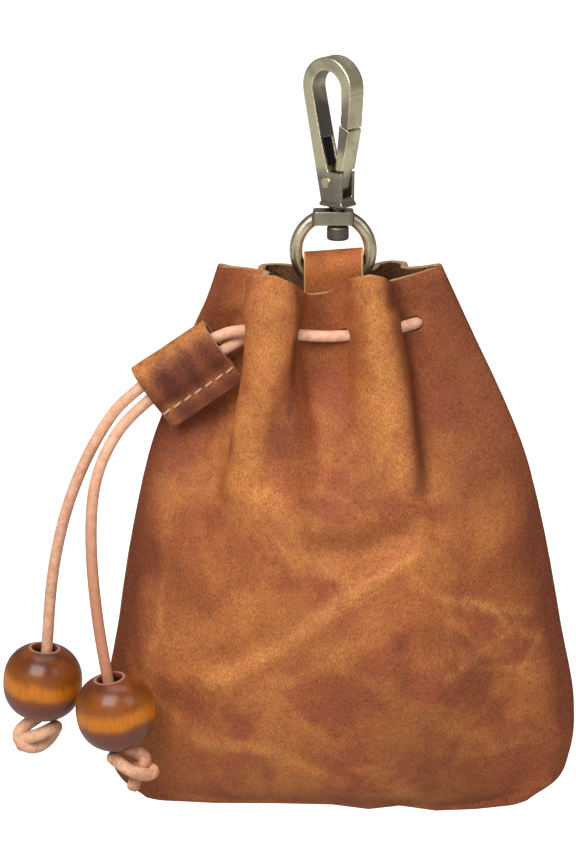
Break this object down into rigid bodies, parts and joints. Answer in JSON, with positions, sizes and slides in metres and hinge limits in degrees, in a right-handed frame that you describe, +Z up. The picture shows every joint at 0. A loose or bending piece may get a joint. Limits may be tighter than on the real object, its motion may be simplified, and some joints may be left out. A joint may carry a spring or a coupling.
{
  "type": "drawstring dice bag",
  "caption": "Soft leather drawstring pouch on a swivel snap hook, gathered by a leather cord with a sliding sleeve and wooden end beads.",
  "frame": {"origin": "centre of the snap hook's bow, where the bag is hung up", "axes": "+X to the right of the bag's front, +Y to its back, +Z up along the hanging bag"},
  "size_m": [0.1436, 0.0488, 0.1913],
  "materials": {
    "antique_brass": "brushed antique brass, darkened in its recesses",
    "dark_brass": "dark antique brass",
    "spring_steel": "dark spring steel",
    "bag_leather": "oiled caramel leather with a fine grain",
    "strap_leather": "oiled caramel leather, raw edges",
    "sleeve_leather": "red-brown oiled leather",
    "cord_leather": "pale round vegetable-tanned leather cord",
    "bead_wood": "varnished red-brown wood with an amber band",
    "thread": "waxed thread"
  },
  "bodies": {
    "hook": {"hook_frame": "antique_brass", "gate_rivet": "antique_brass", "gate_spring": "spring_steel", "swivel_pin": "dark_brass"},
    "gate": {"hook_gate": "antique_brass"},
    "ring": {"swivel_ring": "antique_brass"},
    "bag": {"tab_strap": "strap_leather", "tab_stitches": "thread", "front_panel": "bag_leather", "back_panel": "bag_leather", "side_thread_left": "thread", "side_thread_right": "thread", "bottom_thread": "thread", "drawcord": "cord_leather"},
    "sleeve": {"cord_sleeve": "sleeve_leather", "sleeve_stitches": "thread"},
    "tail_left": {"tail_cord_left": "cord_leather", "knot_left": "cord_leather"},
    "tail_right": {"tail_cord_right": "cord_leather", "knot_right": "cord_leather"},
    "bead_left": {"bead_left": "bead_wood"},
    "bead_right": {"bead_right": "bead_wood"}
  },
  "joints": [
    {"name": "gate_open", "type": "hinge", "parent": "hook", "child": "gate", "pos_m": [-0.00008, 0.00006, -0.0237], "axis": [-0.6428, -0.766, 0], "range_deg": [0, 20], "stiffness_Nm_per_rad": 0.02, "springref_deg": -20.05},
    {"name": "hook_swivel", "type": "hinge", "parent": "hook", "child": "ring", "pos_m": [0.00115, -0.00096, -0.0325], "axis": [0, 0, 1], "continuous": true},
    {"name": "ring_swing", "type": "hinge", "parent": "ring", "child": "bag", "pos_m": [0, 0, -0.0475], "axis": [1, 0, 0], "range_deg": [-12, 12]},
    {"name": "sleeve_slide", "type": "slide", "parent": "bag", "child": "sleeve", "axis": [-0.8261, 0, -0.5635], "range_m": [0, 0.0035]},
    {"name": "tail_left_swing", "type": "hinge", "parent": "bag", "child": "tail_left", "pos_m": [-0.051, -0.0086, -0.0764], "axis": [1, 0, 0], "range_deg": [0, 25]},
    {"name": "tail_right_swing", "type": "hinge", "parent": "bag", "child": "tail_right", "pos_m": [-0.0482, -0.00865, -0.0791], "axis": [1, 0, 0], "range_deg": [-25, 0]},
    {"name": "bead_left_slide", "type": "slide", "parent": "tail_left", "child": "bead_left", "axis": [0.0736, -0.0453, 0.9963], "range_m": [0, 0.006]},
    {"name": "bead_right_slide", "type": "slide", "parent": "tail_right", "child": "bead_right", "axis": [-0.1871, -0.0506, 0.981], "range_m": [0, 0.006]}
  ]
}
